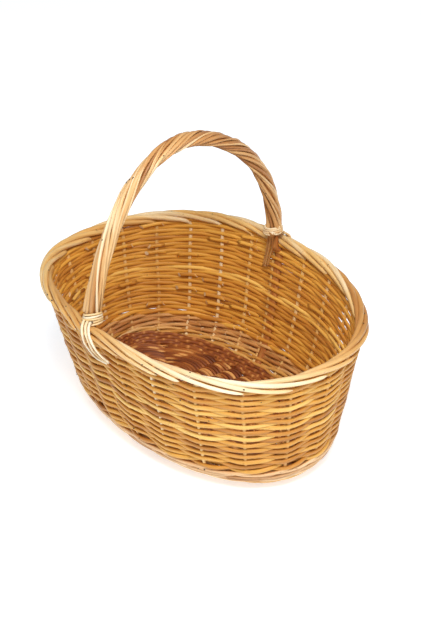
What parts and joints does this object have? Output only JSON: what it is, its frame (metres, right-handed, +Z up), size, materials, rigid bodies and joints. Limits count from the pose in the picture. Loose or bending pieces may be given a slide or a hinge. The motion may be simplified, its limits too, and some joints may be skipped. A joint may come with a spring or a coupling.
{
  "type": "mushroom foraging basket",
  "caption": "Oval woven willow foraging basket with a flared open body on a flat foot and a fixed bow handle wrapped in twisted rods across its short axis.",
  "frame": {"origin": "centre of the bounding box at floor level, under the foot ring", "axes": "+X along the long axis of the oval, +Y across it in the plane of the bow handle, +Z up"},
  "size_m": [0.3978, 0.2836, 0.3249],
  "materials": {
    "willow_rod": "satin varnished golden willow",
    "willow_pale": "satin varnished pale willow",
    "willow_base": "satin reddish brown willow",
    "bow_wood": "satin peeled wood"
  },
  "bodies": {
    "root": {"base_runner_01": "bow_wood", "base_runner_02": "bow_wood", "base_runner_03": "bow_wood", "base_stick_01": "bow_wood", "base_stick_02": "bow_wood", "base_stick_03": "bow_wood", "base_stick_04": "bow_wood", "base_stick_05": "bow_wood", "base_stick_06": "bow_wood", "base_stick_07": "bow_wood", "base_weave_01": "willow_base", "base_weave_02": "willow_base", "base_weave_03": "willow_base", "base_weave_04": "willow_base", "base_weave_05": "willow_base", "foot_ring": "willow_pale", "handle_binding_far": "willow_pale", "handle_binding_near": "willow_pale", "handle_bow": "bow_wood", "handle_wrap_01": "willow_rod", "handle_wrap_02": "willow_pale", "handle_wrap_03": "willow_rod", "handle_wrap_04": "willow_pale", "handle_wrap_05": "willow_rod", "handle_wrap_06": "willow_pale", "side_weave_01": "willow_rod", "side_weave_02": "willow_rod", "side_weave_03": "willow_rod", "side_weave_04": "willow_rod", "side_weave_05": "willow_rod", "side_weave_06": "willow_rod", "side_weave_07": "willow_rod", "side_weave_08": "willow_rod", "stake_01": "willow_pale", "stake_02": "willow_rod", "stake_03": "willow_rod", "stake_04": "willow_pale", "stake_05": "willow_rod", "stake_06": "willow_rod", "stake_07": "willow_pale", "stake_08": "willow_rod", "stake_09": "willow_rod", "stake_10": "willow_pale", "stake_11": "willow_rod", "stake_12": "willow_rod", "stake_13": "willow_pale", "stake_14": "willow_rod", "stake_15": "willow_rod", "stake_16": "willow_pale", "stake_17": "willow_rod", "stake_18": "willow_rod", "stake_19": "willow_pale", "stake_20": "willow_rod", "stake_21": "willow_rod", "stake_22": "willow_pale", "stake_23": "willow_rod", "stake_24": "willow_rod", "upsett_wale_inner": "willow_rod", "upsett_wale_outer": "willow_pale"}
  },
  "joints": []
}
